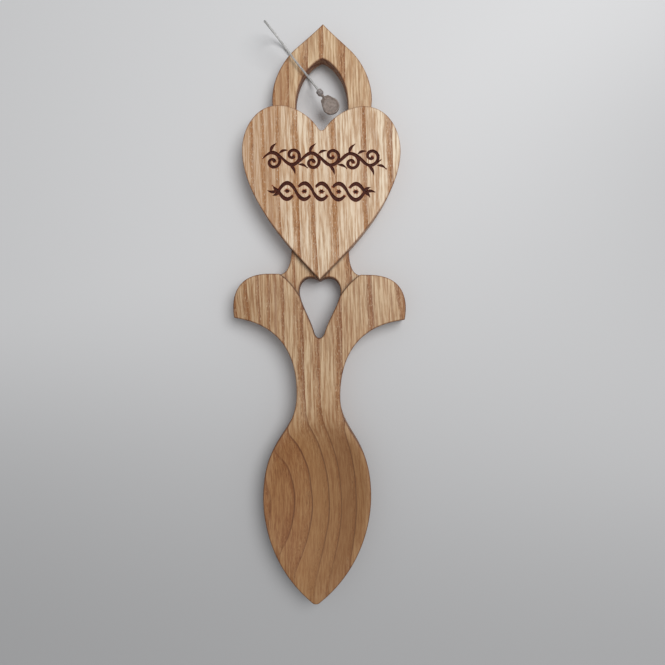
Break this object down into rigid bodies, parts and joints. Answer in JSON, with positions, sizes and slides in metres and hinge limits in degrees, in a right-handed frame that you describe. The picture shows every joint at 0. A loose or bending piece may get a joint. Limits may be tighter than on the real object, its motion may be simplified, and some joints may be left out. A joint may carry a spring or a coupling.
{
  "type": "love spoon",
  "caption": "Flat carved ash love spoon with a pointed hanging loop, raised heart, heart cut-out, curled leaves, hollowed bowl and a swinging looped tag tie.",
  "frame": {"origin": "on the plane of the flat back, under the middle of the spoon's length and width", "axes": "+Z out of the carved face, +Y along the spoon towards the hanging loop, +X to the right as seen from the carved face"},
  "size_m": [0.0716, 0.24, 0.0137],
  "materials": {
    "ash_board": "sanded ash with a thin wax or oil, brown growth rings and fine open pores",
    "ash_heart": "sanded ash, as the board, with a burnt-brown engraving on its face",
    "clear_nylon": "translucent moulded nylon, softly glossy",
    "grey_nylon": "translucent grey moulded nylon, satin"
  },
  "bodies": {
    "spoon": {"spoon_body": "ash_board", "heart": "ash_heart"},
    "tag_tie": {"tie_filament": "clear_nylon", "tie_lock": "clear_nylon", "tie_disc": "grey_nylon"}
  },
  "joints": [
    {"name": "tie_swing", "type": "hinge", "parent": "spoon", "child": "tag_tie", "pos_m": [-0.01045, 0.1026, 0.0046], "axis": [0.5888, 0.8083, 0], "range_deg": [-12, 12]}
  ]
}
